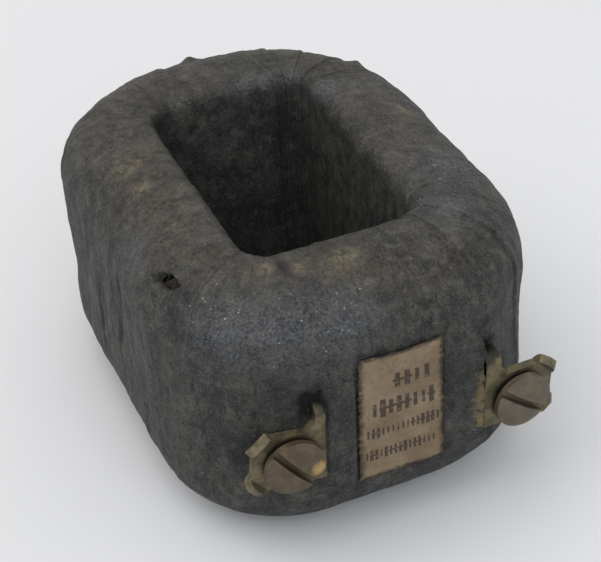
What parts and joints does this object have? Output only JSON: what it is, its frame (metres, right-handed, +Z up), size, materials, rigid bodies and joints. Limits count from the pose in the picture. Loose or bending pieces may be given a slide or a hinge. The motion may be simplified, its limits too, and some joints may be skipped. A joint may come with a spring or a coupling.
{
  "type": "contactor coil",
  "caption": "Tape-wrapped magnet coil with an open core window, a plain label and brass screw terminals on its front.",
  "frame": {"origin": "centre of the core window on the plane that the coil stands on", "axes": "+Z up along the core window, -Y towards the terminals and label, +X to the right seen from the terminals"},
  "size_m": [0.0606, 0.082, 0.0452],
  "materials": {
    "cotton_tape": "varnished cotton, sooty and aged",
    "varnished_cambric": "amber-brown varnish, dark with age",
    "pressboard": "matt",
    "insulating_paper": "matt",
    "copper_wire": "enamelled",
    "aged_brass": "dull, patinated",
    "solder": "dull grey",
    "label_paper": "matt, stained"
  },
  "bodies": {
    "root": {"finish_tape": "cotton_tape", "ground_wrap": "varnished_cambric", "former_tube": "pressboard", "winding": "copper_wire", "end_washer_top": "pressboard", "end_washer_bottom": "pressboard", "cover_sheet": "insulating_paper", "label": "label_paper", "layer_paper_1": "insulating_paper", "layer_paper_2": "insulating_paper", "layer_paper_3": "insulating_paper", "layer_paper_4": "insulating_paper", "cover_binding_lower": "varnished_cambric", "cover_binding_upper": "varnished_cambric", "start_lead": "copper_wire", "start_lead_strip": "insulating_paper", "finish_lead": "copper_wire", "finish_lead_strip": "insulating_paper", "terminal_plate_left": "aged_brass", "terminal_pad_left": "insulating_paper", "terminal_screw_left": "aged_brass", "solder_joint_left": "solder", "terminal_plate_right": "aged_brass", "terminal_pad_right": "insulating_paper", "terminal_screw_right": "aged_brass", "solder_joint_right": "solder"}
  },
  "joints": []
}
